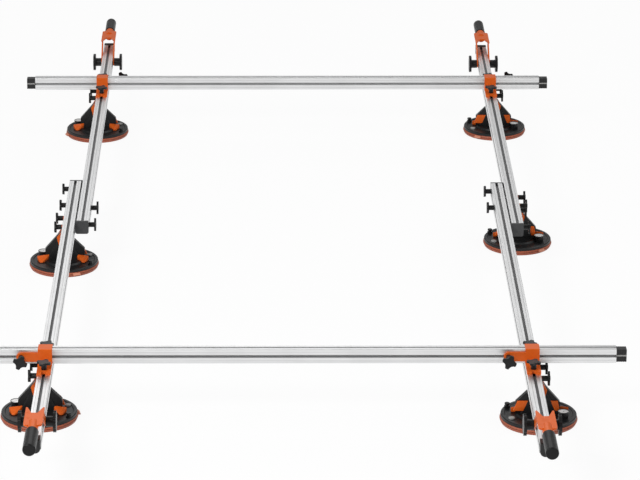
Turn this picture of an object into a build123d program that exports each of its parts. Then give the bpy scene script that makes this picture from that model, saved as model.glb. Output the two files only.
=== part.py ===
from build123d import *
import os
from math import atan2, degrees, hypot

os.makedirs("parts", exist_ok=True)

# Driving dimensions in millimetres.
# X runs along the crossbars, Y along the rails away from the viewer, Z up from the floor.
# The frame is the same after half a turn about Z, apart from the rails' lengths and the cups' places.

# Clearances
SLIDE_GAP = 0.3
SEAT_GAP = 0.1
RUN_GAP = 0.08
HOLE_GAP = 0.3

# Slotted aluminium profiles
SLOT_WIDTH = 8.2
SLOT_LIP = 2.5
SLOT_DEPTH = 6.0
SLOT_ROOM = 18.0
RAIL_CORE_RADIUS = 7.0
BAR_CORE_RADIUS = 4.5
CORNER_RADIUS = 1.0

# Rails
RAIL_WIDTH = 36.0
RAIL_HEIGHT = 40.0
FRONT_RAIL_LENGTH = 2036.0
REAR_RAIL_LENGTH = 1876.0
INNER_RAIL_X = 633.0
PAIR_GAP = 4.0
RAIL_STAGGER = 26.0
RAIL_CAP_LENGTH = 30.0
RAIL_CAP_ROUND = 14.0
RAIL_CAP_EDGE = 4.0
GUIDE_LENGTH = 8.0
GUIDE_CHAMFER = 4.0
CAP_TENON_LENGTH = 14.0
JOINER_FIRST = 28.0
JOINER_PITCH = 152.0
JOINER_SPACING = 24.0

# Crossbars
BAR_WIDTH = 30.0
BAR_HEIGHT = 40.0
BAR_LENGTH = 1752.0
BAR_SHIFT = 10.6
BAR_FROM_RAIL_END = 522.0
BAR_CAP_LENGTH = 28.0
BAR_CAP_INSET = 2.5
BAR_CAP_RIBS = 4
BAR_CAP_RIB_DEPTH = 1.2
BAR_CAP_BAND = 4.0

# Cross clamps
CLAMP_WIDTH = 38.0
CLAMP_BASE = 3.0
CLAMP_WALL = 5.0
CLAMP_STRAP = 2.5
CLAMP_FLANGE = 8.0
CLAMP_REACH = 74.0
CLAMP_KNOB_REACH = 53.0
CLAMP_NOTCH_RADIUS = 7.0
CLAMP_ARM = 64.0
CLAMP_ARM_HEIGHT = 26.0
CLAMP_ROUND = 2.0

# Star knobs and slot nuts
STAR_RADIUS = 19.5
STAR_THICKNESS = 6.0
STAR_LOBES = 4
STAR_WAIST = 13.0
STAR_CUT_RADIUS = 13.0
STAR_ROUND = 2.5
STAR_TURN = 22.0
STEM_RADIUS = 7.5
STEM_LENGTH = 16.0
ARM_STEM_LENGTH = 36.0
STUD_RADIUS = 3.0
NUT_LENGTH = 20.0
NUT_WIDTH = 14.0
NUT_THICKNESS = 5.0

# Tilting handles
PIVOT_FROM_END = 166.0
ARM_THICKNESS = 4.0
ARM_WIDTH = 24.0
ARM_REACH = 72.0
BRIDGE_OVERLAP = 18.0
BRIDGE_LENGTH = 115.0
BRIDGE_WIDTH = 48.0
BRIDGE_THICKNESS = 5.0
BRIDGE_RISE = 60.0
BRIDGE_NOTCH = 36.0
BRIDGE_NOTCH_FLOOR = 16.0
BRIDGE_TIP = 4.0
BRIDGE_ROUND = 9.0
GRIP_RISE = 52.0
NECK_RADIUS = 14.5
NECK_LENGTH = 21.0
NECK_OVERLAP = 30.0
SPIGOT_RADIUS = 9.0
GRIP_RADIUS = 17.0
GRIP_LENGTH = 118.0
GRIP_END_WALL = 12.0
GRIP_ROUND = 4.0
AXLE_RADIUS = 5.0
HUB_RADIUS = 14.0
HUB_LENGTH = 19.0
HEAD_RADIUS = 28.5
HEAD_THICKNESS = 8.0
HEAD_LOBES = 6
HEAD_CUT_RADIUS = 9.0
HEAD_CUT_DEPTH = 3.0
SOCKET_DEPTH = 12.0

# Vacuum cups
PAD_RADIUS = 105.0
PAD_HEIGHT = 14.0
PAD_FOOT_RADIUS = 101.5
PAD_TOP_RADIUS = 103.5
PAD_LIP_WIDTH = 12.5
PAD_RECESS = 3.0
PAD_GROOVE_RISE = 8.0
PAD_GROOVE_WIDTH = 1.6
PAD_GROOVE_DEPTH = 2.0
TAB_WIDTH = 22.0
TAB_REACH = 6.0
TAB_RISE = 6.5
TAB_THICKNESS = 6.5
TAB_SLOPE = 5.0
PLATE_RADIUS = 102.5
PLATE_HEIGHT = 9.0
PLATE_EDGE = 2.0
RING_INSIDE = 93.0
DISH_RADIUS = 91.0
DISH_DEPTH = 2.0
CROWN_RADIUS = 60.0
CROWN_RISE = 3.0
ARCH_HEIGHT = 87.0
ARCH_PUMP_FOOT = 63.0
ARCH_GAUGE_FOOT = 56.0
ARCH_FOOT_RISE = 34.0
ARCH_TOP = 10.0
ARCH_DEPTH = 16.0
TOWER_BASE = 52.0
TOWER_TOP = 6.0
TOWER_DEPTH = 26.0
TOWER_RIDGE = 2.5
GAUGE_X = 64.0
GAUGE_Y = -28.0
GAUGE_RADIUS = 13.5
GAUGE_RISE = 11.0
PUMP_X = -82.0
PUMP_Y = 44.0
BARREL_RADIUS = 8.0
BARREL_RISE = 3.0
PUMP_ROD_RADIUS = 5.0
PUMP_BUTTON_RADIUS = 7.0
PUMP_BUTTON_HEIGHT = 4.0
PUMP_TRAVEL = 4.0
PUMP_FLOOR = 2.0

# Cup brackets
CUP_OFFSET = 20.0
BRACKET_THICKNESS = 4.0
BRACKET_EAR_RADIUS = 7.0
BRACKET_ROOT = 12.0
SADDLE_THICKNESS = 4.0
SADDLE_WIDTH = 16.0
TONGUE_THICKNESS = 4.0
TONGUE_WIDTH = 40.0
TONGUE_WIDEST_DROP = 14.0
TONGUE_DROP = 42.0
TONGUE_TIP_WIDTH = 26.0
TONGUE_ROUND = 6.0
BRACKET_KEY = 1.8
BRACKET_KEY_LENGTH = 12.0
BRACKET_KNOB_PITCH = 79.0
UNDER_RAIL_GAP = 5.0
MIDDLE_LEFT_SPACE = 79.5
MIDDLE_RIGHT_SPACE = 1.5

# Sizes that follow from the ones above
PLATE_TOP = PAD_HEIGHT + PLATE_HEIGHT
ARCH_TOP_Z = PLATE_TOP + ARCH_HEIGHT
RAIL_BOTTOM = ARCH_TOP_Z + SADDLE_THICKNESS + UNDER_RAIL_GAP
RAIL_AXIS = RAIL_BOTTOM + RAIL_HEIGHT / 2
RAIL_TOP = RAIL_BOTTOM + RAIL_HEIGHT
RAIL_HALF = RAIL_WIDTH / 2
PAIR_PITCH = RAIL_WIDTH + PAIR_GAP
OUTER_RAIL_X = INNER_RAIL_X + PAIR_PITCH
JOINER_REACH = JOINER_FIRST + JOINER_PITCH
RAIL_OVERLAP = 2 * JOINER_REACH + JOINER_SPACING
PAIR_SPAN = FRONT_RAIL_LENGTH + REAR_RAIL_LENGTH - RAIL_OVERLAP
OUTER_RAIL_END = (PAIR_SPAN - RAIL_STAGGER) / 2
INNER_RAIL_END = (PAIR_SPAN + RAIL_STAGGER) / 2
BAR_Y = OUTER_RAIL_END - BAR_FROM_RAIL_END
BAR_BOTTOM = RAIL_TOP + CLAMP_BASE + SEAT_GAP
BAR_AXIS = BAR_BOTTOM + BAR_HEIGHT / 2
BAR_TOP = BAR_BOTTOM + BAR_HEIGHT
SLOT_TOTAL = SLOT_LIP + SLOT_DEPTH
NUT_DEPTH = SLOT_LIP + SLIDE_GAP
STUD_HOLE = STUD_RADIUS + HOLE_GAP
STUD_PAST_NUT = SLIDE_GAP / 2
BRIDGE_START = ARM_REACH - BRIDGE_OVERLAP
BRIDGE_END = BRIDGE_START + BRIDGE_LENGTH
GRIP_START = BRIDGE_END + NECK_LENGTH
BRIDGE_TOP = BRIDGE_RISE + BRIDGE_THICKNESS / 2
ARM_RISE = BRIDGE_TOP - ARM_WIDTH / 2

# The middle cups stand past the joiner knobs of their rails
CUP_PAST_JOINER = 2 * STAR_RADIUS + BRACKET_KNOB_PITCH / 2
MIDDLE_LEFT_Y = FRONT_RAIL_LENGTH - OUTER_RAIL_END - JOINER_REACH - CUP_PAST_JOINER - MIDDLE_LEFT_SPACE
MIDDLE_RIGHT_Y = OUTER_RAIL_END - REAR_RAIL_LENGTH + JOINER_REACH + CUP_PAST_JOINER + MIDDLE_RIGHT_SPACE

# Where each cup hangs: rail side, rail, place along Y, and the turn of its pull tab in degrees.
# The end cups stand a little way beyond their crossbar.
CUPS = {
    "front_left": ("left", OUTER_RAIL_X, -BAR_Y - 5.0, 10.0),
    "middle_left": ("left", OUTER_RAIL_X, MIDDLE_LEFT_Y, -66.0),
    "rear_left": ("left", INNER_RAIL_X, BAR_Y + 5.0, 200.0),
    "front_right": ("right", INNER_RAIL_X, -BAR_Y - 27.0, 100.0),
    "middle_right": ("right", OUTER_RAIL_X, MIDDLE_RIGHT_Y, -50.0),
    "rear_right": ("right", OUTER_RAIL_X, BAR_Y + 26.0, -125.0),
}

# Each rail as it stands at the rear of the frame: its X, outer end and length.
# The front rails are the same layout turned half round.
RAILS = {
    "rear_left": (-INNER_RAIL_X, INNER_RAIL_END, REAR_RAIL_LENGTH, False),
    "rear_right": (OUTER_RAIL_X, OUTER_RAIL_END, REAR_RAIL_LENGTH, False),
    "front_left": (OUTER_RAIL_X, OUTER_RAIL_END, FRONT_RAIL_LENGTH, True),
    "front_right": (-INNER_RAIL_X, INNER_RAIL_END, FRONT_RAIL_LENGTH, True),
}

HALF_TURN = Rot(0, 0, 180)
TO_RIGHT = Rot(0, 90, 0)
TO_LEFT = Rot(0, -90, 0)
TO_BACK = Rot(-90, 0, 0)


def block(x0, x1, y0, y1, z0, z1):
    """A box between two corners."""
    middle = Pos((x0 + x1) / 2, (y0 + y1) / 2, (z0 + z1) / 2)
    return middle * Box(x1 - x0, y1 - y0, z1 - z0)


def rod_x(radius, x0, x1, y, z):
    """A round bar along X."""
    return Pos((x0 + x1) / 2, y, z) * TO_RIGHT * Cylinder(radius, x1 - x0)


def rod_y(radius, x, y0, y1, z):
    """A round bar along Y."""
    return Pos(x, (y0 + y1) / 2, z) * TO_BACK * Cylinder(radius, y1 - y0)


def rod_z(radius, x, y, z0, z1):
    """A round bar along Z."""
    return Pos(x, y, (z0 + z1) / 2) * Cylinder(radius, z1 - z0)


def bar_between(first, last, width):
    """A flat bar's outline with round ends centred on two points."""
    run, rise = last[0] - first[0], last[1] - first[1]
    middle = Pos((first[0] + last[0]) / 2, (first[1] + last[1]) / 2)
    return middle * Rot(0, 0, degrees(atan2(rise, run))) * SlotCenterToCenter(hypot(run, rise), width)


def save(shape, name, half_turn=False):
    """Writes one node; a group of pieces is a compound of separate solids."""
    piece = HALF_TURN * shape if half_turn else shape
    piece.label = name
    export_step(piece, f"parts/{name}.step")


def slotted_section(width, height, core_radius):
    """Extrusion section with a T slot in the middle of each face and a bore along the core."""
    section = RectangleRounded(width, height, CORNER_RADIUS)
    for along, turn in ((height, 0), (width, 90)):
        for side in (0, 180):
            face = Rot(0, 0, turn + side)
            mouth = Pos(0, along / 2 - SLOT_TOTAL / 2) * Rectangle(SLOT_WIDTH, SLOT_TOTAL)
            room = Pos(0, along / 2 - SLOT_LIP - SLOT_DEPTH / 2) * Rectangle(SLOT_ROOM, SLOT_DEPTH)
            section = section - face * mouth - face * room
    return section - Circle(core_radius)


def star_knob(stud_length, stem_length):
    """Hand knob with its stud, seated at Z = 0 with the stud pointing down."""
    cut_centre = STAR_WAIST + STAR_CUT_RADIUS
    star = Circle(STAR_RADIUS) - PolarLocations(cut_centre, STAR_LOBES) * Circle(STAR_CUT_RADIUS)
    star = Rot(0, 0, STAR_TURN) * fillet(star.vertices(), STAR_ROUND)
    head = Pos(0, 0, stem_length) * extrude(star, STAR_THICKNESS)
    stem = rod_z(STEM_RADIUS, 0, 0, 0, stem_length)
    stud = rod_z(STUD_RADIUS, 0, 0, -stud_length, 0)
    return head + stem + stud


def slot_nut(face_depth, along_x=False):
    """Nut held under a slot's lips, with the slot's face lying face_depth below Z = 0."""
    top = -face_depth - NUT_DEPTH
    nut = block(-NUT_WIDTH / 2, NUT_WIDTH / 2, -NUT_LENGTH / 2, NUT_LENGTH / 2, top - NUT_THICKNESS, top)
    nut = nut - rod_z(STUD_HOLE, 0, 0, top - NUT_THICKNESS, top)
    return Rot(0, 0, 90) * nut if along_x else nut


def slot_fastener(face_depth, stem_length=STEM_LENGTH, along_x=False):
    """A star knob and the slot nut that it draws up, as two separate solids."""
    reach = face_depth + NUT_DEPTH + NUT_THICKNESS + STUD_PAST_NUT
    return [star_knob(reach, stem_length), slot_nut(face_depth, along_x)]


def placed(location, shapes):
    """The shapes of a small group, all moved alike."""
    return [location * shape for shape in shapes]


# Rail and its caps, laid out as at the rear of the frame

def rail_layout(end, length):
    """Y of the aluminium's inner and outer ends, of the inner guide's end and of the handle's pivot."""
    inner = end - length
    return inner + GUIDE_LENGTH, end - RAIL_CAP_LENGTH, inner, end - PIVOT_FROM_END


def joiner_places(end, length):
    """Y of the two joiner knobs near the rail's inner end."""
    first = end - length + JOINER_FIRST
    return first, first + JOINER_PITCH


def make_rail(x, end, length):
    """Slotted rail with cross holes for its joiner studs and its handle's axle."""
    start, stop, _, pivot = rail_layout(end, length)
    section = Plane.XZ * slotted_section(RAIL_WIDTH, RAIL_HEIGHT, RAIL_CORE_RADIUS)
    rail = Pos(x, stop, RAIL_AXIS) * extrude(section, stop - start)
    left, right = x - RAIL_HALF, x + RAIL_HALF
    for y in joiner_places(end, length):
        rail = rail - rod_x(STUD_HOLE, left, right, y, RAIL_AXIS)
    return rail - rod_x(AXLE_RADIUS + HOLE_GAP, left, right, pivot, RAIL_AXIS)


def make_rail_caps(x, end, length):
    """Outer end cap, and the inner guide whose side runs along the neighbouring rail."""
    start, stop, inner, _ = rail_layout(end, length)
    tenon = RAIL_CORE_RADIUS - SEAT_GAP
    outline = Rectangle(RAIL_WIDTH, RAIL_HEIGHT)
    outline = fillet(outline.vertices().group_by(Axis.Y)[0], RAIL_CAP_ROUND)
    cap = Pos(x, end, RAIL_AXIS) * extrude(Plane.XZ * outline, RAIL_CAP_LENGTH)
    cap = fillet(cap.faces().sort_by(Axis.Y)[-1].edges(), RAIL_CAP_EDGE)
    cap = cap + rod_y(tenon, x, stop - CAP_TENON_LENGTH, stop, RAIL_AXIS)
    near_side = x - RAIL_HALF - PAIR_GAP + SLIDE_GAP
    guide = block(near_side, x + RAIL_HALF, inner, start, RAIL_BOTTOM, RAIL_TOP)
    low_edges = guide.edges().filter_by(Axis.Y).group_by(Axis.Z)[0]
    guide = chamfer(low_edges, GUIDE_CHAMFER)
    guide = guide + rod_y(tenon, x, start, start + CAP_TENON_LENGTH, RAIL_AXIS)
    return [cap, guide]


# Cross clamp

def make_clamp(x):
    """Saddle that stands on the rail, wraps the crossbar and reaches along its far face."""
    half = CLAMP_WIDTH / 2
    wall_in = BAR_WIDTH / 2 + SLIDE_GAP
    wall_out = wall_in + CLAMP_WALL
    reach = BAR_WIDTH / 2 + CLAMP_REACH
    strap_top = BAR_TOP + SLIDE_GAP + CLAMP_STRAP
    saddle = block(-half, half, -wall_out, wall_out, RAIL_TOP, strap_top)
    top_edges = saddle.edges().filter_by(Axis.X).group_by(Axis.Z)[-1]
    saddle = fillet(top_edges, CLAMP_ROUND)
    flange = block(-half, half, -reach, reach, RAIL_TOP, RAIL_TOP + CLAMP_FLANGE)
    flange = fillet(flange.edges().filter_by(Axis.Z), CLAMP_ROUND)
    for end in (-reach, reach):
        flange = flange - rod_z(CLAMP_NOTCH_RADIUS, 0, end, RAIL_TOP, RAIL_TOP + CLAMP_FLANGE)
    arm_low = BAR_AXIS - CLAMP_ARM_HEIGHT / 2
    arm = block(0, CLAMP_ARM, wall_in, wall_out, arm_low, arm_low + CLAMP_ARM_HEIGHT)
    arm = arm + rod_y(CLAMP_ARM_HEIGHT / 2, CLAMP_ARM, wall_in, wall_out, BAR_AXIS)
    clamp = saddle + flange + arm
    window_low = RAIL_TOP + CLAMP_BASE
    window = block(-CLAMP_ARM, CLAMP_ARM, -wall_in, wall_in, window_low, BAR_TOP + SLIDE_GAP)
    clamp = clamp - window - rod_y(STUD_HOLE, CLAMP_ARM, wall_in, wall_out, BAR_AXIS)
    for y in hold_down_places():
        clamp = clamp - rod_z(STUD_HOLE, 0, y, RAIL_TOP, RAIL_TOP + CLAMP_FLANGE)
    return Pos(x, BAR_Y, 0) * clamp


def hold_down_places():
    """Y of a clamp's two hold-down knobs, from the crossbar's middle."""
    reach = BAR_WIDTH / 2 + CLAMP_KNOB_REACH
    return -reach, reach


# Knobs of one rail

def make_rail_knobs(x, end, length):
    """The clamp's knobs, the joiner knobs and the handle's two pivot knobs, with their slot nuts."""
    pieces = []
    for y in hold_down_places():
        seat = Pos(x, BAR_Y + y, RAIL_TOP + CLAMP_FLANGE)
        pieces += placed(seat, slot_fastener(CLAMP_FLANGE))
    face_depth = SLIDE_GAP + CLAMP_WALL
    seat = Pos(x + CLAMP_ARM, BAR_Y + BAR_WIDTH / 2 + face_depth, BAR_AXIS) * TO_BACK
    pieces += placed(seat, slot_fastener(face_depth, ARM_STEM_LENGTH, along_x=True))
    for y in joiner_places(end, length):
        seat = Pos(x + RAIL_HALF, y, RAIL_AXIS) * TO_RIGHT
        pieces += placed(seat, slot_fastener(RAIL_WIDTH + PAIR_GAP))
    pivot = rail_layout(end, length)[3]
    return pieces + placed(Pos(x, pivot, RAIL_AXIS), pivot_knobs())


def pivot_knobs():
    """Two large knobs on one axle along X through the handle's pivot."""
    seat = RAIL_HALF + SLIDE_GAP + ARM_THICKNESS + SEAT_GAP
    cut_centre = HEAD_RADIUS + HEAD_CUT_RADIUS - HEAD_CUT_DEPTH
    lobed = Circle(HEAD_RADIUS) - PolarLocations(cut_centre, HEAD_LOBES) * Circle(HEAD_CUT_RADIUS)
    lobed = fillet(lobed.vertices(), STAR_ROUND)
    head = Pos(0, 0, HUB_LENGTH) * extrude(lobed, HEAD_THICKNESS)
    knob = head + rod_z(HUB_RADIUS, 0, 0, 0, HUB_LENGTH)
    axle_end = seat + SOCKET_DEPTH - SLIDE_GAP
    axled = Pos(seat, 0, 0) * TO_RIGHT * knob + rod_x(AXLE_RADIUS, -axle_end, seat, 0, 0)
    socket = rod_z(AXLE_RADIUS + SEAT_GAP, 0, 0, 0, SOCKET_DEPTH)
    plain = Pos(-seat, 0, 0) * TO_LEFT * (knob - socket)
    return [axled, plain]


# Tilting handle

def make_handle(x, end, length):
    """Two arms beside the rail, the notched plate over its end, and the spigot inside the grip."""
    inside = RAIL_HALF + SLIDE_GAP
    outside = inside + ARM_THICKNESS
    arm_outline = bar_between((0, 0), (ARM_REACH, ARM_RISE), ARM_WIDTH)
    arm_outline = arm_outline - Circle(AXLE_RADIUS + RUN_GAP)
    arm = extrude(Plane.YZ * arm_outline, ARM_THICKNESS)
    low = BRIDGE_TOP - BRIDGE_THICKNESS
    bridge_half = BRIDGE_WIDTH / 2
    bridge = block(-bridge_half, bridge_half, BRIDGE_START, BRIDGE_END, low, BRIDGE_TOP)
    far_corners = bridge.edges().filter_by(Axis.Z).group_by(Axis.Y)[-1]
    bridge = fillet(far_corners, BRIDGE_ROUND)
    mouth = bridge_half - BRIDGE_TIP
    floor = BRIDGE_NOTCH_FLOOR / 2
    notch_end = BRIDGE_START + BRIDGE_NOTCH
    notch = Polygon(
        (-mouth, BRIDGE_START), (mouth, BRIDGE_START), (floor, notch_end), (-floor, notch_end), align=None)
    bridge = bridge - Pos(0, 0, low) * extrude(notch, BRIDGE_THICKNESS)
    spigot_end = GRIP_START + GRIP_LENGTH - GRIP_END_WALL - SLIDE_GAP
    neck = rod_y(NECK_RADIUS, 0, BRIDGE_END - NECK_OVERLAP, GRIP_START, GRIP_RISE)
    spigot = rod_y(SPIGOT_RADIUS, 0, GRIP_START, spigot_end, GRIP_RISE)
    handle = Pos(inside, 0, 0) * arm + Pos(-outside, 0, 0) * arm + bridge + neck + spigot
    return Pos(x, rail_layout(end, length)[3], RAIL_AXIS) * handle


def make_grip(x, end, length):
    """Round hand grip with a closed end, pushed on the handle's spigot."""
    stop = GRIP_START + GRIP_LENGTH
    grip = rod_y(GRIP_RADIUS, 0, GRIP_START, stop, GRIP_RISE)
    grip = fillet(grip.edges().filter_by(GeomType.CIRCLE), GRIP_ROUND)
    bore = rod_y(SPIGOT_RADIUS + SEAT_GAP, 0, GRIP_START, stop - GRIP_END_WALL, GRIP_RISE)
    return Pos(x, rail_layout(end, length)[3], RAIL_AXIS) * (grip - bore)


# Crossbar and its caps, laid out as at the rear of the frame

def make_crossbar():
    """Slotted bar lying across both rails."""
    metal = BAR_LENGTH - 2 * BAR_CAP_LENGTH
    section = Plane.YZ * slotted_section(BAR_WIDTH, BAR_HEIGHT, BAR_CORE_RADIUS)
    return Pos(-BAR_SHIFT - metal / 2, BAR_Y, BAR_AXIS) * extrude(section, metal)


def make_crossbar_caps():
    """Two ribbed end caps with a band round the middle of their height."""
    metal = BAR_LENGTH - 2 * BAR_CAP_LENGTH
    half_width = BAR_WIDTH / 2 - BAR_CAP_INSET
    half_height = BAR_HEIGHT / 2 - BAR_CAP_INSET
    cap = block(0, BAR_CAP_LENGTH, -half_width, half_width, -half_height, half_height)
    cap = fillet(cap.faces().sort_by(Axis.X)[-1].edges(), CLAMP_ROUND)
    pitch = BAR_CAP_LENGTH / (BAR_CAP_RIBS + 1)
    deep = half_width - BAR_CAP_RIB_DEPTH
    for count in range(BAR_CAP_RIBS):
        at = pitch * (count + 1)
        for y0, y1 in ((-half_width, -deep), (deep, half_width)):
            cap = cap - block(at - pitch / 4, at + pitch / 4, y0, y1, -half_height, half_height)
    for y0, y1 in ((-half_width, -deep), (deep, half_width)):
        cap = cap - block(0, BAR_CAP_LENGTH, y0, y1, -BAR_CAP_BAND / 2, BAR_CAP_BAND / 2)
    cap = cap + rod_x(BAR_CORE_RADIUS - SEAT_GAP, -CAP_TENON_LENGTH, 0, 0, 0)
    middle = Pos(-BAR_SHIFT, BAR_Y, BAR_AXIS)
    right = middle * Pos(metal / 2, 0, 0) * cap
    left = middle * Pos(-metal / 2, 0, 0) * HALF_TURN * cap
    return [left, right]


# Vacuum cup, laid out with its rail to the left of its own centre

def make_pad(tab_turn):
    """Rubber pad with a shallow vacuum recess, a groove round its rim and a pull tab above the groove."""
    lip_inside = PAD_FOOT_RADIUS - PAD_LIP_WIDTH
    groove = PAD_RADIUS - PAD_GROOVE_DEPTH
    groove_top = PAD_GROOVE_RISE + PAD_GROOVE_WIDTH
    outline = Polyline(
        (0, PAD_RECESS), (lip_inside - PAD_RECESS, PAD_RECESS), (lip_inside, 0), (PAD_FOOT_RADIUS, 0),
        (PAD_RADIUS, PAD_GROOVE_RISE), (groove, PAD_GROOVE_RISE), (groove, groove_top),
        (PAD_RADIUS, groove_top), (PAD_TOP_RADIUS, PAD_HEIGHT), (0, PAD_HEIGHT), close=True)
    pad = revolve(Plane.XZ * make_face(outline), Axis.Z)
    tab_end = PAD_RADIUS + TAB_REACH
    tab = block(lip_inside, tab_end, -TAB_WIDTH / 2, TAB_WIDTH / 2, TAB_RISE, TAB_RISE + TAB_THICKNESS)
    tab = chamfer(tab.edges().filter_by(Axis.Y).group_by(Axis.X)[-1].sort_by(Axis.Z)[-1], TAB_SLOPE)
    return pad + Rot(0, 0, tab_turn) * tab


def make_shell():
    """Dished round plate with the winged tower on it, the gauge's seat and the pump's barrel."""
    crown_top = PLATE_TOP + CROWN_RISE
    dish = PLATE_TOP - DISH_DEPTH
    outline = Polyline(
        (0, PAD_HEIGHT), (PLATE_RADIUS, PAD_HEIGHT), (PLATE_RADIUS, PLATE_TOP - PLATE_EDGE),
        (PLATE_RADIUS - PLATE_EDGE, PLATE_TOP), (RING_INSIDE, PLATE_TOP), (DISH_RADIUS, dish),
        (CROWN_RADIUS + CROWN_RISE, dish), (CROWN_RADIUS, crown_top), (0, crown_top), close=True)
    plate = revolve(Plane.XZ * make_face(outline), Axis.Z)
    root = PAD_HEIGHT + PLATE_HEIGHT / 2
    foot_top = PLATE_TOP + ARCH_FOOT_RISE
    arch_outline = Polygon(
        (-ARCH_PUMP_FOOT, root), (ARCH_GAUGE_FOOT, root), (ARCH_GAUGE_FOOT, foot_top),
        (ARCH_TOP, ARCH_TOP_Z), (-ARCH_TOP, ARCH_TOP_Z), (-ARCH_PUMP_FOOT, foot_top), align=None)
    arch = extrude(Plane.XZ * arch_outline, ARCH_DEPTH / 2, both=True)
    tower_outline = Polygon(
        (-TOWER_BASE, PLATE_TOP), (TOWER_BASE, PLATE_TOP), (TOWER_TOP, ARCH_TOP_Z),
        (-TOWER_TOP, ARCH_TOP_Z), align=None)
    tower = extrude(Plane.XZ * tower_outline, TOWER_DEPTH / 2, both=True)
    ridges = [edge for edge in tower.edges() if abs(edge.tangent_at(0.5).X * edge.tangent_at(0.5).Z) > 0.1]
    arch = arch + chamfer(ridges, TOWER_RIDGE)
    gauge_seat = rod_z(GAUGE_RADIUS, GAUGE_X, GAUGE_Y, root, PLATE_TOP + GAUGE_RISE)
    barrel_low = PAD_HEIGHT + PUMP_FLOOR
    barrel_top = PLATE_TOP + BARREL_RISE
    barrel = rod_z(BARREL_RADIUS, PUMP_X, PUMP_Y, barrel_low, barrel_top)
    pump_bore = rod_z(PUMP_ROD_RADIUS + RUN_GAP, PUMP_X, PUMP_Y, barrel_low, barrel_top)
    return plate + arch + gauge_seat + barrel - pump_bore


def make_plunger():
    """Pump plunger with its push button, drawn up to the top of its stroke."""
    button_low = PLATE_TOP + BARREL_RISE + PUMP_TRAVEL + SLIDE_GAP
    button_top = button_low + PUMP_BUTTON_HEIGHT
    rod_low = PAD_HEIGHT + PUMP_FLOOR + PUMP_TRAVEL + SLIDE_GAP
    button = rod_z(PUMP_BUTTON_RADIUS, PUMP_X, PUMP_Y, button_low, button_top)
    button = fillet(button.edges().group_by(Axis.Z)[-1], CORNER_RADIUS)
    return button + rod_z(PUMP_ROD_RADIUS, PUMP_X, PUMP_Y, rod_low, button_low)


def bracket_face():
    """X of the bracket's face beside the rail, from the cup's centre."""
    return RAIL_HALF - CUP_OFFSET + SLIDE_GAP


def make_bracket():
    """Forked plate on the rail's outer side, keyed in its slot, on a saddle with a tongue down each
    face of the tower."""
    face = bracket_face()
    studs = (-BRACKET_KNOB_PITCH / 2, BRACKET_KNOB_PITCH / 2)
    root_z = ARCH_TOP_Z + BRACKET_EAR_RADIUS
    fork = Pos(0, root_z) * Rectangle(2 * BRACKET_ROOT, 2 * BRACKET_EAR_RADIUS)
    for y, root_y in zip(studs, (-BRACKET_ROOT, BRACKET_ROOT)):
        fork = fork + bar_between((root_y, root_z), (y, RAIL_AXIS), 2 * BRACKET_EAR_RADIUS)
    plate = Pos(face, 0, 0) * extrude(Plane.YZ * fork, BRACKET_THICKNESS)
    saddle_top = ARCH_TOP_Z + SADDLE_THICKNESS
    saddle_half = SADDLE_WIDTH / 2
    inside = TOWER_DEPTH / 2
    outside = inside + TONGUE_THICKNESS
    saddle = block(-saddle_half, saddle_half, -outside, outside, ARCH_TOP_Z, saddle_top)
    widest = ARCH_TOP_Z - TONGUE_WIDEST_DROP
    tip = ARCH_TOP_Z - TONGUE_DROP
    tongue_outline = Polygon(
        (-saddle_half, saddle_top), (-TONGUE_WIDTH / 2, widest), (-TONGUE_TIP_WIDTH / 2, tip),
        (TONGUE_TIP_WIDTH / 2, tip), (TONGUE_WIDTH / 2, widest), (saddle_half, saddle_top), align=None)
    corners = tongue_outline.vertices().sort_by(Axis.Y)[:4]
    tongue = extrude(Plane.XZ * fillet(corners, TONGUE_ROUND), TONGUE_THICKNESS)
    bracket = plate + saddle + Pos(0, -inside, 0) * tongue + Pos(0, outside, 0) * tongue
    key_half = SLOT_WIDTH / 2 - SLIDE_GAP
    key_end = face - SLIDE_GAP - BRACKET_KEY
    for y in studs:
        low, high = y - BRACKET_KEY_LENGTH / 2, y + BRACKET_KEY_LENGTH / 2
        bracket = bracket + block(key_end, face, low, high, RAIL_AXIS - key_half, RAIL_AXIS + key_half)
        bracket = bracket - rod_x(STUD_HOLE, key_end, face + BRACKET_THICKNESS, y, RAIL_AXIS)
    return bracket


def make_cup_knobs():
    """The two star knobs that hold the bracket to the rail's side slot."""
    pieces = []
    for y in (-BRACKET_KNOB_PITCH / 2, BRACKET_KNOB_PITCH / 2):
        seat = Pos(bracket_face() + BRACKET_THICKNESS, y, RAIL_AXIS) * TO_RIGHT
        pieces += placed(seat, slot_fastener(BRACKET_THICKNESS + SLIDE_GAP))
    return pieces


def cup_place(side, rail_x, y):
    """Where a cup stands: outside its rail, turned half round on the left."""
    if side == "left":
        return Pos(-rail_x - CUP_OFFSET, y, 0) * HALF_TURN
    return Pos(rail_x + CUP_OFFSET, y, 0)


# The whole frame

for name, (x, end, length, turned) in RAILS.items():
    save(make_rail(x, end, length), f"{name}_rail", turned)
    save(Compound(make_rail_caps(x, end, length)), f"{name}_rail_caps", turned)
    save(make_clamp(x), f"{name}_clamp", turned)
    save(Compound(make_rail_knobs(x, end, length)), f"{name}_knobs", turned)
    save(make_handle(x, end, length), f"{name}_handle", turned)
    save(make_grip(x, end, length), f"{name}_grip", turned)

for name, turned in (("rear", False), ("front", True)):
    save(make_crossbar(), f"{name}_crossbar", turned)
    save(Compound(make_crossbar_caps()), f"{name}_crossbar_caps", turned)

for name, (side, rail_x, y, tab_turn) in CUPS.items():
    place = cup_place(side, rail_x, y)
    own_turn = tab_turn + 180.0 if side == "left" else tab_turn
    save(place * make_pad(own_turn), f"{name}_pad")
    save(place * make_shell(), f"{name}_shell")
    save(place * make_plunger(), f"{name}_plunger")
    save(place * make_bracket(), f"{name}_bracket")
    save(Compound(placed(place, make_cup_knobs())), f"{name}_cup_knobs")
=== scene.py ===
import math

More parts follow.
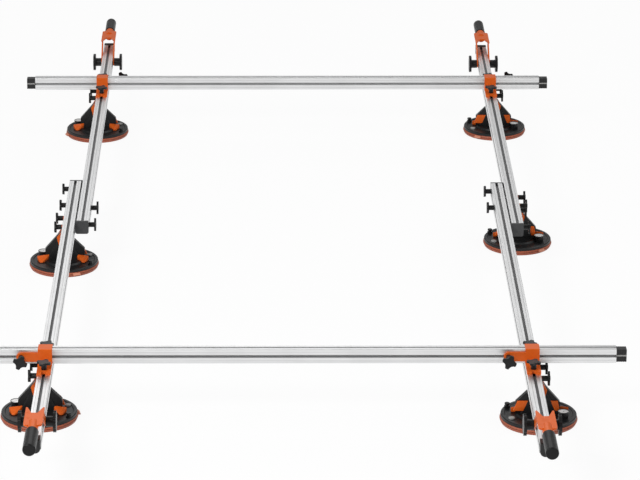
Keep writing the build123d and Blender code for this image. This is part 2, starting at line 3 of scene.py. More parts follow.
import bmesh
import bpy
from bpy.props import FloatProperty, FloatVectorProperty, IntProperty, PointerProperty
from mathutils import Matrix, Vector


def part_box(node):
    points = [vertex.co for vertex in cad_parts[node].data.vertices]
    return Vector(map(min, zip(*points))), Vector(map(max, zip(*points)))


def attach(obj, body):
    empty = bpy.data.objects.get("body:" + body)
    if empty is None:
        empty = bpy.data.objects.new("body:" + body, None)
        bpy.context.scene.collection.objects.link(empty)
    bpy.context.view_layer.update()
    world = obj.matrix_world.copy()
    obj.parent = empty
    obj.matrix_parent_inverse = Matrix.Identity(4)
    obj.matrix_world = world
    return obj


bl_info = {
    "name": "Tile Carrying Frame",
    "version": (1, 0, 0),
    "blender": (4, 5, 0),
    "location": "View3D > Sidebar > Tile Frame",
    "description": "Dresses a large tile carrying frame with its finishes and small cup fittings",
    "category": "Object",
}

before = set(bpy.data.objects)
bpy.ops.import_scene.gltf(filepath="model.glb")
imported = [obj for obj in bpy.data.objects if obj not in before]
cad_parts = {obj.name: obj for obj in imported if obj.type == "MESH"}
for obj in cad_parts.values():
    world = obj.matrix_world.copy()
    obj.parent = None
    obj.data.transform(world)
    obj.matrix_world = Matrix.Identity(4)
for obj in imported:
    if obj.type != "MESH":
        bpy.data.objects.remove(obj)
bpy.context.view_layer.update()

CORNERS = ("front_left", "front_right", "rear_left", "rear_right")
CUPS = tuple(name[:-len("_shell")] for name in sorted(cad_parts) if name.endswith("_shell"))

# Name, place, size in metres and share of the main lamp's power
LAMPS = (
    ("key", (-3.2, -4.6, 4.0), 2.0, 1.0),
    ("fill", (4.5, -1.0, 4.5), 4.0, 0.5),
    ("rear", (-0.5, 5.0, 4.5), 4.0, 0.28),
)
FLOOR_SIZE = 80.0
SENSOR_WIDTH = 36.0
VIEW_REACH = 200.0

# Rail caps nearer to the frame's middle than this are the inner guides
GUIDES_WITHIN = 1.0

# Bevels round edges sharper than the first angle, and shading smooths those under the second
EDGE_ANGLE = math.radians(35.0)
SMOOTH_ANGLE = math.radians(40.0)
BEVEL_STEPS = 3
MERGE_GAP = 0.00002
GAUGE_SIDES = 48
KEY_SIDES = 32
KEY_BEVEL_STEPS = 2

# A face whose normal rises more than this is a top face
UPWARD = 0.9


def box_middle(name):
    """Middle of a CAD node's box."""
    return [(low + high) / 2 for low, high in zip(*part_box(name))]


def box_half(name):
    """Half the size of a CAD node's box."""
    return [(high - low) / 2 for low, high in zip(*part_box(name))]


def colour(name, default, description):
    return FloatVectorProperty(
        name=name, description=description, subtype="COLOR", size=3, min=0.0, max=1.0, default=default)


def length(name, default, description):
    return FloatProperty(
        name=name, description=description, subtype="DISTANCE", unit="LENGTH", precision=4, default=default)


def number(name, default, description):
    return FloatProperty(name=name, description=description, default=default)


def angle(name, degrees, description):
    return FloatProperty(name=name, description=description, subtype="ANGLE", default=math.radians(degrees))


# Settings

class TF_PG_metal(bpy.types.PropertyGroup):
    """Anodised rails and crossbars."""
    bright: colour("Bright", (0.88, 0.883, 0.886), "Colour of the drawn metal's lighter streaks")
    dull: colour("Dull", (0.76, 0.763, 0.766), "Colour of the drawn metal's darker streaks")
    # The two slot colours are painted shade: the inside of each slot is coloured darker, as if shade fell in
    # the recess.
    slot: colour("Rail slot", (0.3, 0.302, 0.305), "Colour deep inside the rails' slots")
    bar_slot_shade: colour("Bar slot", (0.52, 0.523, 0.528), "Colour deep inside the crossbars' slots")
    depth: length("Slot edge", 0.0004, "How far under the outer faces the slots start to darken")
    # The fine lines are grooves: the bump dents them, and they are coloured with painted shade.
    line: length("Line", 0.0006, "Half the width of the fine lines drawn along the faces")
    line_place: number("Line place", 0.62, "Place of the fine lines as a share of the half width")
    streak_fine: number("Streak fineness", 420.0, "How closely the streaks lie across the profile")
    streak_long: number("Streak length", 2.2, "How often the streaks change along the profile")


class TF_PG_coat(bpy.types.PropertyGroup):
    """Orange powder coat, orange rubber and black mouldings."""
    coat: colour("Coat", (0.7, 0.118, 0.012), "Colour of the powder coat")
    coat_worn: colour("Worn coat", (0.55, 0.084, 0.009), "Colour of the powder coat where it is rubbed")
    pad: colour("Pad", (0.375, 0.087, 0.04), "Colour of the cups' rubber")
    pad_dust: colour("Pad dust", (0.45, 0.19, 0.12), "Colour of the bloom on the cups' rubber")
    # The tab colour is a painted highlight: the pull tabs are coloured paler, as if their sloping tops
    # caught the light from above.
    tab_highlight: colour("Tab", (0.64, 0.25, 0.155), "Colour of the pull tabs, rubbed pale by fingers")
    tab_from: length("Tab start", 0.1054, "Distance from a cup's centre at which its pull tab starts")
    black: colour("Black", (0.006, 0.006, 0.0063), "Colour of the knobs and caps")
    guide: colour("Guide", (0.04, 0.041, 0.043), "Colour of the rails' inner guides")
    shell: colour("Shell", (0.009, 0.0092, 0.0097), "Colour of the cups' plates")
    pale: colour("Pale", (0.34, 0.34, 0.33), "Colour of the pale release keys and cap bands")
    band: length("Cap band", 0.0021, "Half the width of the pale line round the crossbars' caps")
    rings: number("Grip rings", 1250.0, "How closely the rings lie along the grips")


class TF_PG_feet(bpy.types.PropertyGroup):
    """Orange paddles in front of each cup's wings and the low wedges behind them."""
    face: length("Wing face", 0.0081, "Distance of the wings' front and back faces from the cup's centre")
    paddle_low: length("Paddle low", 0.034, "Height of the paddle's lower edge above the floor")
    paddle_high: length("Paddle high", 0.062, "Height of the paddle's upper edge above the floor")
    paddle_out: length("Paddle out", 0.0062, "How far the paddle's lower edge stands off the wing")
    paddle_foot_in: length("Paddle foot inside", 0.0425, "Inner end of the paddle's lower edge")
    paddle_foot_out: length("Paddle foot outside", 0.0700, "Outer end of the paddle's lower edge")
    paddle_top_in: length("Paddle top inside", 0.0295, "Inner end of the paddle's upper edge")
    paddle_top_out: length("Paddle top outside", 0.0585, "Outer end of the paddle's upper edge")
    paddle_trim: length("Paddle trim", 0.0085, "How much shorter the paddle's top is beside the gauge")
    foot_trim: length("Foot trim", 0.0145, "How much shorter the paddle's lower edge is beside the gauge")
    wedge_in: length("Wedge inside", 0.043, "Inner end of the wedge's wide edge")
    wedge_out: length("Wedge outside", 0.081, "Outer end of the wedge's wide edge")
    wedge_shift: length("Wedge shift", 0.006, "How much nearer the tower the wedge away from the gauge lies")
    wedge_low: length("Wedge low", 0.0212, "Height of the dished plate that the wedges lie on")
    wedge_high: length("Wedge high", 0.041, "Height of the wedge's wide edge at its inner end")
    wedge_drop: length("Wedge drop", 0.005, "How much lower the wide edge is at its outer end")
    wedge_tip: length("Wedge tip", 0.034, "Distance of the wedge's tip behind the cup's centre")
    tip_across: length("Tip across", 0.067, "Distance of the wedge's tip to the side of the cup's centre")
    tip_half: length("Tip half width", 0.0042, "Half the width of the wedge's blunt tip")
    tip_rise: length("Tip rise", 0.004, "Height of the wedge's blunt tip")
    round: length("Rounding", 0.0012, "Width of the paddles' rounded edges")
    wedge_round: length("Wedge rounding", 0.0032, "Width of the wedges' rounded edges")


class TF_PG_gauge(bpy.types.PropertyGroup):
    """Vacuum gauge on each cup."""
    x: length("Across", 0.064, "Distance of the gauge from the cup's centre, across the rail")
    y: length("Along", -0.028, "Distance of the gauge from the cup's centre, along the rail")
    radius: length("Radius", 0.0155, "Radius of the gauge's rim")
    height: length("Height", 0.006, "Height of the gauge's rim")
    seat: length("Seat", 0.034, "Height of the gauge's seat above the floor")
    lip: length("Lip", 0.0014, "Width of the rim's raised edge")
    well: length("Well", 0.002, "Depth of the dial's seat under the rim's edge")
    round: length("Rounding", 0.0005, "Width of the rim's rounded edges")
    gap: length("Gap", 0.0001, "Clearance round and under the dial")
    thick: length("Thickness", 0.0006, "Thickness of the dial")
    card: colour("Card", (0.86, 0.86, 0.85), "Colour of the dial")
    card_dull: colour("Dull card", (0.8, 0.8, 0.79), "Colour of the dial's darker specks")
    ink: colour("Ink", (0.03, 0.03, 0.03), "Colour of the dial's marks")
    ticks: IntProperty(name="Ticks", description="Marks round the dial", default=24, min=4)


class TF_PG_key(bpy.types.PropertyGroup):
    """Pale release key on each cup."""
    x: length("Across", -0.075, "Distance of the key from the cup's centre, across the rail")
    y: length("Along", -0.036, "Distance of the key from the cup's centre, along the rail")
    seat: length("Seat", 0.0211, "Height of the dished plate that the key lies on")
    radius: length("Radius", 0.0085, "Radius of the key's round base")
    height: length("Height", 0.004, "Height of the key's round base")
    step: length("Step", 0.002, "Width of the step round the key's wing, before it is narrowed")
    wing: length("Wing", 0.002, "Height of the key's wing above its base")
    wing_long: number("Wing length", 0.85, "Length of the wing's top as a share of the step's circle")
    wing_wide: number("Wing width", 0.4, "Width of the wing's top as a share of the step's circle")
    round: length("Rounding", 0.0006, "Width of the key's rounded edges")


class TF_PG_stage(bpy.types.PropertyGroup):
    """Camera, lamps and floor."""
    camera: FloatVectorProperty(
        name="Camera", description="Where the camera stands", subtype="TRANSLATION", unit="LENGTH",
        default=(-0.0744, -9.6085, 3.5471))
    pitch: angle("Pitch", 19.93, "Tilt of the camera below level")
    yaw: angle("Yaw", 0.16, "Turn of the camera to the right")
    lens: number("Lens", 189.1, "Focal length in millimetres")
    shift: number("Shift", 0.0669, "Sideways shift of the view")
    floor: colour("Floor", (0.9, 0.9, 0.9), "Colour of the floor")
    floor_rough: number("Floor roughness", 0.9, "Roughness of the floor")
    floor_glow: number("Floor glow", 0.92, "Share of plain white in the floor")
    sky: number("Sky", 0.34, "Strength of the surrounding light")
    key: number("Key", 235.0, "Power of the main lamp in watts")


SETTINGS = (
    ("tf_metal", TF_PG_metal),
    ("tf_coat", TF_PG_coat),
    ("tf_feet", TF_PG_feet),
    ("tf_gauge", TF_PG_gauge),
    ("tf_key", TF_PG_key),
    ("tf_stage", TF_PG_stage),
)


# Shader maths

class Wire:
    """A shader socket that takes part in Python sums."""

    def __init__(self, finish, socket):
        self.finish = finish
        self.socket = socket

    def math(self, operation, *others):
        terms = list(enumerate((self, *others)))
        return self.finish.node("ShaderNodeMath", {"operation": operation}, terms)

    def __add__(self, other):
        return self.math("ADD", other)

    def __sub__(self, other):
        return self.math("SUBTRACT", other)

    def __rsub__(self, other):
        return self.math("MULTIPLY_ADD", -1.0, other)

    def __mul__(self, other):
        return self.math("MULTIPLY", other)

    def __abs__(self):
        return self.math("ABSOLUTE")

    def __lt__(self, other):
        return self.math("LESS_THAN", other)

    def __gt__(self, other):
        return self.math("GREATER_THAN", other)

    __radd__ = __add__
    __rmul__ = __mul__


class Finish:
    """One procedural material, built node by node."""

    def __init__(self, name):
        self.material = bpy.data.materials.new(name)
        self.material.use_nodes = True
        self.tree = self.material.node_tree
        self.tree.nodes.clear()
        self.surface = self.tree.nodes.new("ShaderNodeBsdfPrincipled")
        self.output = self.tree.nodes.new("ShaderNodeOutputMaterial")
        self.tree.links.new(self.surface.outputs[0], self.output.inputs["Surface"])

    def plug(self, socket, value):
        if isinstance(value, Wire):
            self.tree.links.new(value.socket, socket)
        elif hasattr(value, "__len__") and socket.type == "RGBA":
            socket.default_value = (*value[:3], 1.0)
        else:
            socket.default_value = value

    def node(self, kind, settings=None, sockets=(), out=0):
        node = self.tree.nodes.new(kind)
        for name, value in (settings or {}).items():
            setattr(node, name, value)
        for name, value in (sockets.items() if isinstance(sockets, dict) else sockets):
            self.plug(node.inputs[name], value)
        return Wire(self, node.outputs[out])

    def place(self, source="Object"):
        return self.node("ShaderNodeTexCoord", out=source)

    def axes(self, place):
        split = self.node("ShaderNodeSeparateXYZ", sockets={0: place})
        return [Wire(self, socket) for socket in split.socket.node.outputs]

    def stretched(self, place, scale):
        return self.node("ShaderNodeVectorMath", {"operation": "MULTIPLY"}, {0: place, 1: scale})

    def noise(self, place, scale, detail=3.0, roughness=0.55):
        sockets = {"Vector": place, "Scale": scale, "Detail": detail, "Roughness": roughness}
        return self.node("ShaderNodeTexNoise", sockets=sockets)

    def grains(self, place, scale):
        return self.node("ShaderNodeTexVoronoi", {"feature": "F1"}, {"Vector": place, "Scale": scale})

    def band(self, value, low, high):
        sockets = {"Value": value, "From Min": low, "From Max": high}
        return self.node("ShaderNodeMapRange", {"interpolation_type": "SMOOTHSTEP"}, sockets)

    def mix(self, share, first, second):
        return self.node("ShaderNodeMix", {"data_type": "RGBA"}, {0: share, 6: first, 7: second}, out=2)

    def bump(self, height, distance, strength=0.5):
        sockets = {"Height": height, "Distance": distance, "Strength": strength}
        return self.node("ShaderNodeBump", sockets=sockets)

    def dress(self, **sockets):
        for name, value in sockets.items():
            self.plug(self.surface.inputs[name.replace("_", " ")], value)
        return self.material


def drawn_metal(name, along, centres, half_width, middle_height, half_height, slot):
    """Anodised profile drawn along one axis, with painted shade inside its slots and along its fine lines.
    """
    look = bpy.context.scene.tf_metal
    finish = Finish(name)
    place = finish.place()
    x, y, z = finish.axes(place)
    fine, long = look.streak_fine, look.streak_long
    across = abs(x) if along == "Y" else abs(y)
    stretch = (fine, long, fine) if along == "Y" else (long, fine, fine)
    streaks = finish.noise(finish.stretched(place, stretch), scale=1.0, detail=4.0, roughness=0.6)
    clouds = finish.noise(place, scale=9.0, detail=2.0)
    dull = finish.band(streaks * 0.7 + clouds * 0.3, low=0.3, high=0.72)
    metal = finish.mix(dull, look.bright, look.dull)
    off = abs(across - centres[0])
    for centre in centres[1:]:
        off = off.math("MINIMUM", abs(across - centre))
    up = abs(z - middle_height)
    # Painted shade: surfaces inside the profile's outer faces, the slots' walls and floors, take the darker
    # slot colour and turn less metallic and rougher.
    inside = (off < half_width - look.depth) * (up < half_height - look.depth)
    # Painted shade: the fine lines along the faces are grooves, coloured half way to the slot's shade colour
    # and dented by the bump.
    line_side = abs(off - half_width * look.line_place) < look.line
    line_top = abs(up - half_height * look.line_place) < look.line
    lines = line_side.math("MAXIMUM", line_top)
    faces = finish.mix(lines * 0.5, metal, slot)
    return finish.dress(
        Base_Color=finish.mix(inside, faces, slot),
        Metallic=1.0 - inside * 0.9,
        Roughness=0.3 + dull * 0.16 + inside * 0.2,
        Normal=finish.bump(streaks * 0.3 - lines, distance=0.0002, strength=0.4))


def powder_coat():
    """Orange powder coat with a fine peel and rubbed patches."""
    look = bpy.context.scene.tf_coat
    finish = Finish("orange_powder_coat")
    place = finish.place()
    peel = finish.noise(place, scale=900.0, detail=2.0)
    rubbed = finish.band(finish.noise(place, scale=34.0, detail=6.0, roughness=0.65), low=0.55, high=0.75)
    specks = finish.band(finish.noise(place, scale=420.0, detail=2.0), low=0.68, high=0.76)
    return finish.dress(
        Base_Color=finish.mix(rubbed * 0.6 + specks * 0.3, look.coat, look.coat_worn),
        Roughness=0.36 + rubbed * 0.18,
        Normal=finish.bump(peel, distance=0.00012, strength=0.35),
        Specular_IOR_Level=0.18,
        Coat_Weight=0.04,
        Coat_Roughness=0.25)


def rubber_pad():
    """Orange rubber with a dusty bloom, and a painted highlight on the pull tabs."""
    look = bpy.context.scene.tf_coat
    finish = Finish("orange_rubber")
    place = finish.place()
    x, y, _ = finish.axes(place)
    reaches = []
    for cup in CUPS:
        across, along, _ = box_middle(f"{cup}_shell")
        reaches.append(((x - across) * (x - across) + (y - along) * (y - along)).math("SQRT"))
    nearest = reaches[0]
    for reach in reaches[1:]:
        nearest = nearest.math("MINIMUM", reach)
    # Painted highlight: every part of a pad that lies beyond the tab start is a pull tab, and it takes the
    # paler tab colour.
    tab_highlight = nearest > look.tab_from
    bloom = finish.band(finish.noise(place, scale=26.0, detail=5.0, roughness=0.6), low=0.45, high=0.8)
    grain = finish.noise(place, scale=1300.0, detail=2.0)
    return finish.dress(
        Base_Color=finish.mix(tab_highlight, finish.mix(bloom * 0.35, look.pad, look.pad_dust), look.tab_highlight),
        Roughness=0.52 + bloom * 0.2,
        Normal=finish.bump(grain, distance=0.00008, strength=0.4))


def moulded_plastic(name, tone, grain_scale=1500.0, rough=0.34):
    """Dark moulding with a spark-eroded grain and handling marks."""
    finish = Finish(name)
    place = finish.place()
    grain = finish.grains(place, grain_scale)
    marks = finish.band(finish.noise(place, scale=55.0, detail=5.0, roughness=0.65), low=0.5, high=0.8)
    paler = [min(1.0, part * 1.7 + 0.006) for part in tone]
    return finish.dress(
        Base_Color=finish.mix(marks * 0.5, tone, paler),
        Roughness=rough + marks * 0.16,
        Specular_IOR_Level=0.3,
        Normal=finish.bump(grain, distance=0.00012, strength=0.4))


def banded_caps():
    """Crossbar caps with a pale line round the middle of their height."""
    look = bpy.context.scene.tf_coat
    finish = Finish("banded_cap_plastic")
    place = finish.place()
    z = finish.axes(place)[2]
    band = abs(z - box_middle("rear_crossbar")[2]) < look.band
    grain = finish.grains(place, scale=1500.0)
    marks = finish.band(finish.noise(place, scale=60.0, detail=4.0), low=0.5, high=0.8)
    return finish.dress(
        Base_Color=finish.mix(band, finish.mix(marks * 0.4, look.black, look.guide), look.pale),
        Roughness=0.44 + marks * 0.14,
        Normal=finish.bump(grain, distance=0.00012, strength=0.4))


def rail_caps():
    """Black outer caps and greyer inner guides of the rails."""
    look = bpy.context.scene.tf_coat
    finish = Finish("rail_cap_plastic")
    place = finish.place()
    y = finish.axes(place)[1]
    inner = abs(y) < GUIDES_WITHIN
    grain = finish.grains(place, scale=1400.0)
    marks = finish.noise(place, scale=70.0, detail=4.0)
    return finish.dress(
        Base_Color=finish.mix(inner, look.black, look.guide),
        Roughness=0.4 + marks * 0.15,
        Normal=finish.bump(grain, distance=0.00012, strength=0.4))


def grip_rubber():
    """Black grip with fine rings for the hand."""
    look = bpy.context.scene.tf_coat
    finish = Finish("grip_rubber")
    place = finish.place()
    y = finish.axes(place)[1]
    rings = (y * look.rings).math("SINE")
    grain = finish.noise(place, scale=1600.0, detail=2.0)
    marks = finish.band(finish.noise(place, scale=48.0, detail=5.0), low=0.5, high=0.8)
    return finish.dress(
        Base_Color=finish.mix(marks * 0.25, look.black, look.guide),
        Roughness=0.4 + marks * 0.15,
        Specular_IOR_Level=0.25,
        Normal=finish.bump(rings * 0.5 + grain * 0.3, distance=0.0003, strength=0.5))


def dial_face():
    """White dial with plain ticks and a pointer, drawn on the disc's own map."""
    look = bpy.context.scene.tf_gauge
    tick_width, tick_from, tick_to = 0.15, 0.33, 0.43
    pointer_half, pointer_tail, pointer_tip = 0.016, -0.08, 0.34
    pointer_cos, pointer_sin = 0.8, 0.6
    hub_radius = 0.06
    finish = Finish("gauge_dial")
    u, v, _ = finish.axes(finish.place("UV"))
    across, up = u - 0.5, v - 0.5
    reach = (across * across + up * up).math("SQRT")
    turn = up.math("ARCTAN2", across)
    beat = abs((turn * (look.ticks / 2)).math("SINE"))
    ticks = (beat < tick_width) * (reach > tick_from) * (reach < tick_to)
    along = across * pointer_cos + up * pointer_sin
    off = abs(up * pointer_cos - across * pointer_sin)
    pointer = (off < pointer_half) * (along > pointer_tail) * (along < pointer_tip)
    hub = reach < hub_radius
    marks = ticks.math("MAXIMUM", pointer).math("MAXIMUM", hub)
    paper = finish.noise(finish.place(), scale=900.0, detail=2.0)
    card = finish.mix(paper, look.card, look.card_dull)
    return finish.dress(
        Base_Color=finish.mix(marks, card, look.ink),
        Roughness=0.45 + paper * 0.1,
        Coat_Weight=0.6,
        Coat_Roughness=0.06)


# Modelling helpers

def start(adder, name, **how):
    """Adds one primitive with nothing else selected."""
    bpy.ops.object.select_all(action="DESELECT")
    adder(**how)
    piece = bpy.context.object
    piece.name = name
    return piece


def select_only(piece):
    bpy.ops.object.select_all(action="DESELECT")
    piece.select_set(True)
    bpy.context.view_layer.objects.active = piece


def pick(piece, kind, test):
    """In edit mode, selects the vertices, edges or faces that pass a test."""
    bpy.ops.mesh.select_all(action="DESELECT")
    bpy.ops.mesh.select_mode(type={"verts": "VERT", "edges": "EDGE", "faces": "FACE"}[kind])
    mesh = bmesh.from_edit_mesh(piece.data)
    for part in getattr(mesh, kind):
        part.select_set(bool(test(part)))
    mesh.select_flush_mode()
    bmesh.update_edit_mesh(piece.data)


def corner_to(piece, near, target):
    """Moves the corner nearest to one point so that it lies at another."""
    mesh = bmesh.from_edit_mesh(piece.data)
    near = Vector(near)
    index = min(mesh.verts, key=lambda corner: (corner.co - near).length).index
    pick(piece, "verts", lambda corner: corner.index == index)
    mesh = bmesh.from_edit_mesh(piece.data)
    mesh.verts.ensure_lookup_table()
    step = Vector(target) - mesh.verts[index].co
    bpy.ops.transform.translate(value=step)


def cut_block(name, low, high, moves):
    """A block between two corners with some of its corners moved."""
    low, high = Vector(low), Vector(high)
    middle, size = (low + high) / 2, high - low
    piece = start(bpy.ops.mesh.primitive_cube_add, name, size=1.0, location=middle, scale=size)
    bpy.ops.object.transform_apply(location=True, rotation=True, scale=True)
    bpy.ops.object.mode_set(mode="EDIT")
    for near, target in moves:
        corner_to(piece, near, target)
    bpy.ops.object.mode_set(mode="OBJECT")
    return piece


def flip_across(piece):
    """Mirrors a piece to the other side of its cup, with its normals outward."""
    select_only(piece)
    bpy.ops.transform.mirror(constraint_axis=(True, False, False))
    bpy.ops.object.transform_apply(location=True, rotation=True, scale=True)
    bpy.ops.object.mode_set(mode="EDIT")
    bpy.ops.mesh.select_all(action="SELECT")
    bpy.ops.mesh.normals_make_consistent(inside=False)
    bpy.ops.object.mode_set(mode="OBJECT")


def soften(piece, width, steps=BEVEL_STEPS):
    """Rounds a piece's sharp edges, merges what the rounding closes up, and shades it."""
    select_only(piece)
    bevel = piece.modifiers.new("edges", "BEVEL")
    bevel.width = width
    bevel.segments = steps
    bevel.limit_method = "ANGLE"
    bevel.angle_limit = EDGE_ANGLE
    bpy.ops.object.modifier_apply(modifier=bevel.name)
    bpy.ops.object.mode_set(mode="EDIT")
    bpy.ops.mesh.select_all(action="SELECT")
    bpy.ops.mesh.remove_doubles(threshold=MERGE_GAP)
    bpy.ops.object.mode_set(mode="OBJECT")
    bpy.ops.object.shade_smooth_by_angle(angle=SMOOTH_ANGLE)


def joined(pieces, name):
    """Joins pieces into the first of them."""
    select_only(pieces[0])
    for piece in pieces[1:]:
        piece.select_set(True)
    bpy.ops.object.join()
    piece = bpy.context.object
    piece.name = name
    return piece


def set_on_cups(model, part, material):
    """Copies a fitting made for the right-hand cups onto every cup, and removes the model."""
    for cup in CUPS:
        select_only(model)
        bpy.ops.object.duplicate(linked=False)
        piece = bpy.context.object
        piece.name = f"{cup}_{part}"
        x, y, _ = box_middle(f"{cup}_shell")
        piece.location = (x, y, 0.0)
        piece.rotation_euler = (0.0, 0.0, math.pi if "left" in cup else 0.0)
        bpy.ops.object.transform_apply(location=True, rotation=True, scale=True)
        piece.data.materials.clear()
        piece.data.materials.append(material)
        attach(piece, f"{cup}_cup")
    select_only(model)
    bpy.ops.object.delete()


def dress(material, *endings):
    """Gives a finish to every CAD node whose name ends in one of the endings."""
    for name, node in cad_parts.items():
        if name.endswith(endings):
            node.data.materials.clear()
            node.data.materials.append(material)


# Operators

class TF_OT_profiles(bpy.types.Operator):
    """Finish the rails and crossbars"""
    bl_idname = "tileframe.profiles"
    bl_label = "Rails and crossbars"

    def execute(self, context):
        look = context.scene.tf_metal
        middle, half = box_middle("rear_left_rail"), box_half("rear_left_rail")
        centres = sorted({round(abs(box_middle(f"{corner}_rail")[0]), 4) for corner in CORNERS})
        dress(drawn_metal("drawn_rail_metal", "Y", centres, half[0], middle[2], half[2], look.slot), "_rail")
        middle, half = box_middle("rear_crossbar"), box_half("rear_crossbar")
        bar_metal = drawn_metal(
            "drawn_bar_metal", "X", [middle[1]], half[1], middle[2], half[2], look.bar_slot_shade)
        dress(bar_metal, "_crossbar")
        return {"FINISHED"}


class TF_OT_castings(bpy.types.Operator):
    """Finish the orange clamps, handles and cup brackets"""
    bl_idname = "tileframe.castings"
    bl_label = "Orange castings"

    def execute(self, context):
        dress(powder_coat(), "_clamp", "_handle", "_bracket")
        return {"FINISHED"}


class TF_OT_mouldings(bpy.types.Operator):
    """Finish the black knobs, caps and grips"""
    bl_idname = "tileframe.mouldings"
    bl_label = "Knobs, caps and grips"

    def execute(self, context):
        dress(moulded_plastic("knob_plastic", context.scene.tf_coat.black), "_knobs", "_plunger")
        dress(banded_caps(), "_crossbar_caps")
        dress(rail_caps(), "_rail_caps")
        dress(grip_rubber(), "_grip")
        return {"FINISHED"}


class TF_OT_cups(bpy.types.Operator):
    """Finish the cups' pads and plates"""
    bl_idname = "tileframe.cups"
    bl_label = "Cup pads and plates"

    def execute(self, context):
        dress(rubber_pad(), "_pad")
        shell = context.scene.tf_coat.shell
        dress(moulded_plastic("cup_plate_plastic", shell, grain_scale=1100.0, rough=0.38), "_shell")
        return {"FINISHED"}


class TF_OT_feet(bpy.types.Operator):
    """Model the orange feet beside each cup's tower"""
    bl_idname = "tileframe.feet"
    bl_label = "Tower feet"

    def execute(self, context):
        look = context.scene.tf_feet
        back, top, low = -look.face, look.paddle_high, look.paddle_low
        front, upper = back - look.paddle_out, back - look.paddle_out / 2
        foot_in, top_in = look.paddle_foot_in, look.paddle_top_in
        seat, high, tip = look.wedge_low, look.wedge_high, look.wedge_tip
        tip_high = seat + look.tip_rise
        parts = []
        for gauge_side in (True, False):
            foot_out = look.paddle_foot_out - (look.foot_trim if gauge_side else 0.0)
            top_out = look.paddle_top_out - (look.paddle_trim if gauge_side else 0.0)
            shift = 0.0 if gauge_side else look.wedge_shift
            wide_in, wide_out = look.wedge_in - shift, look.wedge_out - shift
            tip_in = look.tip_across - look.tip_half - shift
            tip_out = look.tip_across + look.tip_half - shift
            paddle = cut_block("paddle", (foot_in, front, low), (foot_out, back, top), (
                ((foot_in, front, top), (top_in, upper, top)),
                ((foot_in, back, top), (top_in, back, top)),
                ((foot_out, front, top), (top_out, upper, top)),
                ((foot_out, back, top), (top_out, back, top)),
            ))
            wedge = cut_block("wedge", (wide_in, look.face, seat), (wide_out, tip, high), (
                ((wide_in, tip, seat), (tip_in, tip, seat)),
                ((wide_out, tip, seat), (tip_out, tip, seat)),
                ((wide_in, tip, high), (tip_in, tip, tip_high)),
                ((wide_out, tip, high), (tip_out, tip, tip_high)),
                ((wide_out, look.face, high), (wide_out, look.face, high - look.wedge_drop)),
            ))
            for part, rounding in ((paddle, look.round), (wedge, look.wedge_round)):
                if not gauge_side:
                    flip_across(part)
                soften(part, rounding)
            parts += [paddle, wedge]
        set_on_cups(joined(parts, "feet"), "feet", bpy.data.materials["orange_powder_coat"])
        return {"FINISHED"}


class TF_OT_gauges(bpy.types.Operator):
    """Model the vacuum gauge on each cup"""
    bl_idname = "tileframe.gauges"
    bl_label = "Vacuum gauges"

    def execute(self, context):
        look = context.scene.tf_gauge
        top = look.seat + look.height
        rim = start(
            bpy.ops.mesh.primitive_cylinder_add, "rim", vertices=GAUGE_SIDES, radius=look.radius,
            depth=look.height, location=(look.x, look.y, look.seat + look.height / 2))
        bpy.ops.object.transform_apply(location=True, rotation=True, scale=True)
        bpy.ops.object.mode_set(mode="EDIT")
        pick(rim, "faces", lambda face: face.normal.z > UPWARD)
        bpy.ops.mesh.inset(thickness=look.lip)
        bpy.ops.mesh.extrude_region_move(TRANSFORM_OT_translate={"value": (0.0, 0.0, -look.well)})
        bpy.ops.object.mode_set(mode="OBJECT")
        soften(rim, look.round)
        shell = context.scene.tf_coat.shell
        rim_plastic = moulded_plastic("gauge_rim_plastic", shell, grain_scale=1600.0, rough=0.3)
        set_on_cups(rim, "gauge_rim", rim_plastic)
        dial = start(
            bpy.ops.mesh.primitive_circle_add, "dial", vertices=GAUGE_SIDES, fill_type="NGON",
            radius=look.radius - look.lip - look.gap, location=(look.x, look.y, top - look.well + look.gap))
        bpy.ops.object.transform_apply(location=True, rotation=True, scale=True)
        bpy.ops.object.mode_set(mode="EDIT")
        bpy.ops.mesh.select_all(action="SELECT")
        bpy.ops.mesh.extrude_region_move(TRANSFORM_OT_translate={"value": (0.0, 0.0, look.thick)})
        bpy.ops.mesh.select_all(action="SELECT")
        bpy.ops.mesh.normals_make_consistent(inside=False)
        bpy.ops.object.mode_set(mode="OBJECT")
        set_on_cups(dial, "gauge_dial", dial_face())
        return {"FINISHED"}


class TF_OT_valves(bpy.types.Operator):
    """Model the pale release key on each cup"""
    bl_idname = "tileframe.valves"
    bl_label = "Release keys"

    def execute(self, context):
        look = context.scene.tf_key
        middle = look.seat + look.height / 2
        wing_top = look.seat + look.height + look.wing
        key = start(
            bpy.ops.mesh.primitive_cylinder_add, "key", vertices=KEY_SIDES, radius=look.radius,
            depth=look.height, location=(look.x, look.y, middle))
        bpy.ops.object.transform_apply(location=True, rotation=True, scale=True)
        bpy.ops.object.mode_set(mode="EDIT")
        pick(key, "faces", lambda face: face.normal.z > UPWARD)
        bpy.ops.mesh.inset(thickness=look.step)
        bpy.ops.mesh.extrude_region_move(TRANSFORM_OT_translate={"value": (0.0, 0.0, look.wing)})
        bpy.ops.transform.resize(
            value=(look.wing_long, look.wing_wide, 1.0), center_override=(look.x, look.y, wing_top))
        bpy.ops.object.mode_set(mode="OBJECT")
        soften(key, look.round, KEY_BEVEL_STEPS)
        key_plastic = moulded_plastic("release_key_plastic", context.scene.tf_coat.pale, rough=0.4)
        set_on_cups(key, "release_key", key_plastic)
        return {"FINISHED"}


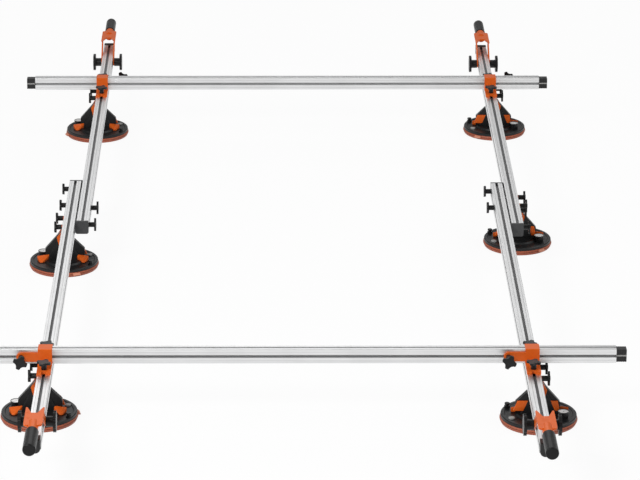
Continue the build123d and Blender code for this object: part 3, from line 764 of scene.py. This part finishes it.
class TF_OT_stage(bpy.types.Operator):
    """Set up the floor, the lamps and the camera"""
    bl_idname = "tileframe.stage"
    bl_label = "Stage"

    def execute(self, context):
        look = context.scene.tf_stage
        scene = context.scene
        scene.view_settings.view_transform = "Standard"
        floor = start(bpy.ops.mesh.primitive_plane_add, "floor", size=FLOOR_SIZE, location=(0.0, 0.0, 0.0))
        finish = Finish("pale_floor")
        finish.dress(Base_Color=look.floor, Roughness=look.floor_rough)
        seen = finish.node("ShaderNodeLightPath", out="Is Camera Ray")
        for ray in ("Is Glossy Ray", "Is Transmission Ray"):
            seen = seen.math("MAXIMUM", finish.node("ShaderNodeLightPath", out=ray))
        white = finish.node("ShaderNodeEmission", sockets={"Color": (1.0, 1.0, 1.0), "Strength": 1.0})
        lit = Wire(finish, finish.surface.outputs[0])
        blend = finish.node("ShaderNodeMixShader", sockets={0: seen * look.floor_glow, 1: lit, 2: white})
        finish.plug(finish.output.inputs["Surface"], blend)
        floor.data.materials.append(finish.material)
        world = bpy.data.worlds.new("studio")
        scene.world = world
        world.use_nodes = True
        back = world.node_tree.nodes["Background"]
        back.inputs["Color"].default_value = (1.0, 1.0, 1.0, 1.0)
        back.inputs["Strength"].default_value = look.sky
        for name, spot, size, share in LAMPS:
            bpy.ops.object.select_all(action="DESELECT")
            bpy.ops.object.light_add(type="AREA", location=spot)
            lamp = bpy.context.object
            lamp.name = name
            lamp.data.energy = look.key * share
            lamp.data.size = size
            lamp.rotation_euler = Vector(spot).to_track_quat("Z", "Y").to_euler()
        bpy.ops.object.select_all(action="DESELECT")
        bpy.ops.object.camera_add(location=look.camera, rotation=(math.pi / 2 - look.pitch, 0.0, -look.yaw))
        camera = bpy.context.object
        camera.data.lens = look.lens
        camera.data.sensor_width = SENSOR_WIDTH
        camera.data.shift_x = look.shift
        camera.data.clip_end = VIEW_REACH
        scene.camera = camera
        return {"FINISHED"}


class TF_PT_sidebar(bpy.types.Panel):
    """Lists the frame's pieces and finishes"""
    bl_label = "Tile Frame"
    bl_idname = "TF_PT_sidebar"
    bl_space_type = "VIEW_3D"
    bl_region_type = "UI"
    bl_category = "Tile Frame"

    def draw(self, context):
        for operator in OPERATORS:
            self.layout.operator(operator.bl_idname)
        for name, group in SETTINGS:
            box = self.layout.box()
            for prop in group.__annotations__:
                box.prop(getattr(context.scene, name), prop)


OPERATORS = (
    TF_OT_profiles, TF_OT_castings, TF_OT_mouldings, TF_OT_cups,
    TF_OT_feet, TF_OT_gauges, TF_OT_valves, TF_OT_stage,
)
CLASSES = tuple(group for _, group in SETTINGS) + OPERATORS + (TF_PT_sidebar,)


def register():
    for cls in CLASSES:
        bpy.utils.register_class(cls)
    for name, group in SETTINGS:
        setattr(bpy.types.Scene, name, PointerProperty(type=group))


def unregister():
    for name, _ in SETTINGS:
        delattr(bpy.types.Scene, name)
    for cls in reversed(CLASSES):
        bpy.utils.unregister_class(cls)


def main():
    register()
    bpy.ops.tileframe.profiles()
    bpy.ops.tileframe.castings()
    bpy.ops.tileframe.mouldings()
    bpy.ops.tileframe.cups()
    bpy.ops.tileframe.feet()
    bpy.ops.tileframe.gauges()
    bpy.ops.tileframe.valves()
    bpy.ops.tileframe.stage()


if __name__ == "__main__":
    main()
